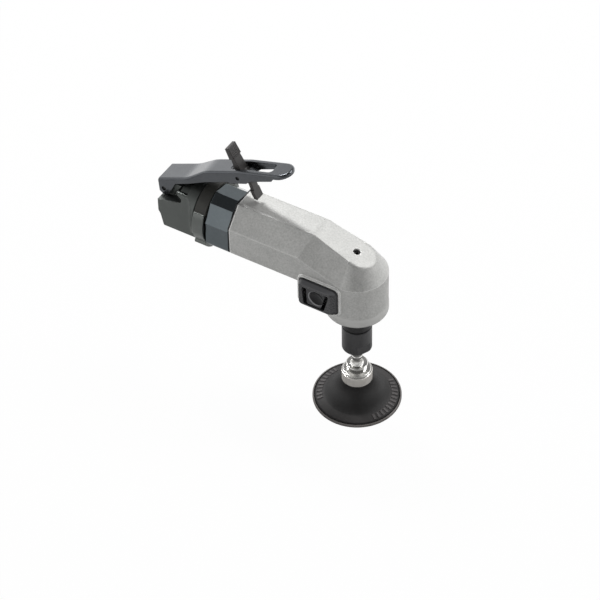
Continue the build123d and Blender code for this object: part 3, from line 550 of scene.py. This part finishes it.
def addThread(name, thread):
    build = bmesh.new()
    start = Vector(thread["startMm"])
    steps = threadShape["steps"]
    count = round(thread["lengthMm"] / thread["pitchMm"] * steps)
    half = thread["pitchMm"] * threadShape["footShare"]
    sections = []
    for step in range(count + 1):
        angle = 2 * math.pi * step / steps
        run = thread["pitchMm"] * step / steps
        # the ridge fades in and out over its first and last half turn
        fade = min(1.0, 2 * step / steps, 2 * (count - step) / steps)
        crest = thread["depthMm"] * fade + threadShape["leastMm"]
        section = []
        for shift, depth in ((-half, 0.0), (0.0, crest), (half, 0.0)):
            r = thread["radiusMm"] - depth
            if thread["axis"] == "X":
                point = Vector((run + half + shift, r * math.cos(angle), r * math.sin(angle)))
            else:
                point = Vector((r * math.cos(angle), r * math.sin(angle), run + half + shift))
            section.append(build.verts.new((start + point) * mm))
        sections.append(section)
    for low, high in zip(sections, sections[1:]):
        joinRings(build, low, high)
    build.faces.new(sections[0])
    build.faces.new(list(reversed(sections[-1])))
    bmesh.ops.recalc_face_normals(build, faces=build.faces)
    addPiece(name, meshOf(build, name), thread["finish"], thread["body"])


coils = {
    # springs copied unchanged from their parts; the joint that presses on each, its axis, its seat and a
    # share of its length are listed, but nothing reads them
    "buttonCoil": dict(
        node="button_spring", joint="lock_button_press", axis=(0.0, 1.0, 0.0),
        seatMm=(-14.5, -11.2, 91.6), keep=0.47,
    ),
    "valveCoil": dict(
        node="valve_spring", joint="throttle_valve_press", axis=(0.0, 0.0, 1.0),
        seatMm=(-107.0, 0.0, 94.2), keep=0.72,
    ),
}


def addCoil(name, coil):
    mesh = nodes[coil["node"]].data.copy()
    mesh.materials.clear()
    piece = addPiece(name, mesh, "springWire", "housing")
    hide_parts(coil["node"])
    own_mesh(piece)


addPadMarks()
addThumbGrip()
for threadName, threadLook in threads.items():
    addThread(threadName, threadLook)
for coilName, coilLook in coils.items():
    addCoil(coilName, coilLook)
print("pieces: pad marks, thumb grip,", len(threads), "threads and", len(coils), "springs")

studio = {
    # strip lamps along the tool: one behind its lever, one past its head, both a little to the far side
    "lamps": {
        "rearKey": dict(at=(-0.72, 0.46, 1.12), length=0.5, width=0.12, watts=9.2),
        "headKey": dict(at=(0.3, 0.68, 1.1), length=0.7, width=0.3, watts=6.0),
    },
    # level of the tent's far and near walls by the height of a unit ray, from the horizon to overhead
    "farTent": (
        (0.0, 1.65), (0.21, 1.5), (0.353, 1.06), (0.47, 1.0), (0.54, 0.55), (0.62, 0.3), (0.78, 0.15),
    ),
    "nearTent": (
        (0.0, 1.5), (0.21, 1.35), (0.353, 1.0), (0.47, 1.0), (0.64, 0.75), (0.76, 0.18), (0.9, 0.13),
    ),
    "tentLevel": 2.0,
    # where the far wall gives way to the near one, by the Y of a unit ray
    "wallFrom": 0.5,
    "wallTo": -0.5,
    # dark stand beside the camera, where the tent is open
    "flagAt": (0.534, -0.845, 0.0),
    "flagFrom": 0.6,
    "flagTo": 0.95,
    "flagShare": 0.3,
    "floorGrey": 0.8,
    "floorWhite": 0.97,
    "floorSize": 6.0,
    # the pad's own shade on the floor, as metal above it sees it: its reach from the spindle's axis
    "padShade": (0.03, 0.075),
    "padShadeShare": 0.85,
    # the floor sweeps up into a white backdrop behind the tool, as polished metal sees it
    "sweepFrom": 0.1,
    "sweepTo": 0.5,
    "sweepLevel": 1.0,
}

photoView = {
    "azimuth": 32.31,
    "elevation": 44.66,
    "roll": -1.4,
    "distance": 1.4566,
    "target": (-0.03844, 0.0, 0.05982),
    "lens": 150.0,
    "sensor": 36.0,
    "clipStart": 0.05,
}


def cameraAxes():
    around = math.radians(photoView["azimuth"])
    above = math.radians(photoView["elevation"])
    lean = math.radians(photoView["roll"])
    level = Vector((math.cos(around), math.sin(around), 0.0))
    outward = Vector((math.sin(around), -math.cos(around), 0.0))
    back = outward * math.cos(above) + Vector((0.0, 0.0, math.sin(above)))
    upright = back.cross(level)
    right = level * math.cos(lean) + upright * math.sin(lean)
    up = upright * math.cos(lean) - level * math.sin(lean)
    return right, up, back


def addCamera():
    right, up, back = cameraAxes()
    camera = bpy.data.objects.new("photoCamera", bpy.data.cameras.new("photoCamera"))
    camera.data.lens = photoView["lens"]
    camera.data.sensor_width = photoView["sensor"]
    camera.data.clip_start = photoView["clipStart"]
    turn = Matrix((right, up, back)).transposed().to_4x4()
    place = Vector(photoView["target"]) + back * photoView["distance"]
    camera.matrix_world = Matrix.Translation(place) @ turn
    bpy.context.scene.collection.objects.link(camera)
    bpy.context.scene.camera = camera


def addLamp(name, look):
    lamp = bpy.data.lights.new(name, "AREA")
    lamp.shape = "RECTANGLE"
    lamp.size = look["length"]
    lamp.size_y = look["width"]
    lamp.energy = look["watts"]
    strip = bpy.data.objects.new(name, lamp)
    back = Vector(look["at"]).normalized()
    across = back.cross(Vector((1.0, 0.0, 0.0))).normalized()
    turn = Matrix((across.cross(back), across, back)).transposed().to_4x4()
    place = Vector(photoView["target"]) + Vector(look["at"])
    strip.matrix_world = Matrix.Translation(place) @ turn
    bpy.context.scene.collection.objects.link(strip)


def addFloor():
    mesh = bpy.data.meshes.new("paleFloor")
    half = studio["floorSize"] / 2
    low = cadBox[0][2]
    corners = [(-half, -half, low), (half, -half, low), (half, half, low), (-half, half, low)]
    mesh.from_pydata(corners, [], [(0, 1, 2, 3)])
    floor = bpy.data.objects.new("paleFloor", mesh)
    bpy.context.scene.collection.objects.link(floor)
    material = bpy.data.materials.new("paleFloor")
    tree = blankTree(material)
    grey = studio["floorGrey"]
    paint = addNode(tree, "ShaderNodeBsdfDiffuse", {"Color": (grey, grey, grey, 1.0)})
    glow = addNode(tree, "ShaderNodeEmission", {"Color": (1.0, 1.0, 1.0, 1.0), "Strength": 1.0})
    ray = addNode(tree, "ShaderNodeLightPath")
    share = addNode(
        tree, "ShaderNodeMath",
        {1: studio["floorWhite"]},
        {0: ray.outputs["Is Camera Ray"]},
        operation="MULTIPLY",
    )
    place = addNode(tree, "ShaderNodeTexCoord").outputs["Object"]
    reach = addNode(tree, "ShaderNodeVectorMath", links={0: place}, operation="LENGTH")
    near, far = studio["padShade"]
    shade = addNode(
        tree, "ShaderNodeMapRange",
        {"From Min": near, "From Max": far, "To Min": studio["padShadeShare"], "To Max": 0.0},
        {"Value": reach.outputs["Value"]},
    )
    hidden = addNode(
        tree, "ShaderNodeMath",
        links={0: shade.outputs[0], 1: ray.outputs["Is Glossy Ray"]},
        operation="MULTIPLY",
    )
    dark = addNode(tree, "ShaderNodeBsdfDiffuse", {"Color": (0.0, 0.0, 0.0, 1.0)})
    paint = addNode(
        tree, "ShaderNodeMixShader", links={0: hidden.outputs[0], 1: paint.outputs[0], 2: dark.outputs[0]}
    )
    blend = addNode(
        tree, "ShaderNodeMixShader", links={0: share.outputs[0], 1: paint.outputs[0], 2: glow.outputs[0]}
    )
    sweep = addNode(
        tree, "ShaderNodeMapRange",
        {"From Min": studio["sweepFrom"], "From Max": studio["sweepTo"], "To Max": studio["sweepLevel"]},
        {"Value": addNode(tree, "ShaderNodeSeparateXYZ", links={0: place}).outputs["Y"]},
    )
    seen = addNode(
        tree, "ShaderNodeMath",
        links={0: sweep.outputs[0], 1: ray.outputs["Is Glossy Ray"]},
        operation="MULTIPLY",
    )
    backdrop = addNode(tree, "ShaderNodeEmission", links={"Strength": seen.outputs[0]})
    both = addNode(tree, "ShaderNodeAddShader", links={0: blend.outputs[0], 1: backdrop.outputs[0]})
    addNode(tree, "ShaderNodeOutputMaterial", links={"Surface": both.outputs[0]})
    mesh.materials.append(material)


def addStudioWorld():
    # A tent of pale walls, bright at the horizon, under a dark ceiling; white to the eye
    world = bpy.data.worlds.new("studio")
    bpy.context.scene.world = world
    tree = blankTree(world)
    direction = addNode(tree, "ShaderNodeTexCoord").outputs["Generated"]
    heading = addNode(tree, "ShaderNodeSeparateXYZ", links={0: direction})
    walls = []
    for wall in ("farTent", "nearTent"):
        ramp = addNode(tree, "ShaderNodeValToRGB", links={0: heading.outputs["Z"]})
        stops = ramp.color_ramp.elements
        while len(stops) < len(studio[wall]):
            stops.new(1.0)
        for stop, (at, level) in zip(stops, studio[wall]):
            stop.position = at
            stop.color = [level / studio["tentLevel"]] * 3 + [1.0]
        walls.append(ramp.outputs["Color"])
    near = addNode(
        tree, "ShaderNodeMapRange",
        {"From Min": studio["wallFrom"], "From Max": studio["wallTo"]},
        {"Value": heading.outputs["Y"]},
        interpolation_type="SMOOTHSTEP",
    )
    tent = addNode(
        tree, "ShaderNodeMix", links={0: near.outputs[0], 6: walls[0], 7: walls[1]}, data_type="RGBA"
    )
    aside = addNode(
        tree, "ShaderNodeVectorMath", {1: studio["flagAt"]}, {0: direction}, operation="DOT_PRODUCT"
    )
    flag = addNode(
        tree, "ShaderNodeMapRange",
        {
            "From Min": studio["flagFrom"],
            "From Max": studio["flagTo"],
            "To Min": studio["tentLevel"],
            "To Max": studio["tentLevel"] * studio["flagShare"],
        },
        {"Value": aside.outputs["Value"]},
        interpolation_type="SMOOTHSTEP",
    )
    lit = addNode(
        tree, "ShaderNodeBackground", links={"Color": tent.outputs[2], "Strength": flag.outputs[0]}
    )
    white = addNode(tree, "ShaderNodeBackground", {"Color": (1.0, 1.0, 1.0, 1.0), "Strength": 1.0})
    ray = addNode(tree, "ShaderNodeLightPath")
    blend = addNode(
        tree, "ShaderNodeMixShader",
        links={0: ray.outputs["Is Camera Ray"], 1: lit.outputs[0], 2: white.outputs[0]},
    )
    addNode(tree, "ShaderNodeOutputWorld", links={"Surface": blend.outputs[0]})


addCamera()
for lampName, lampLook in studio["lamps"].items():
    addLamp(lampName, lampLook)
addFloor()
addStudioWorld()
bpy.context.scene.view_settings.view_transform = "Standard"
print("studio: camera,", len(studio["lamps"]), "lamps, floor and world")
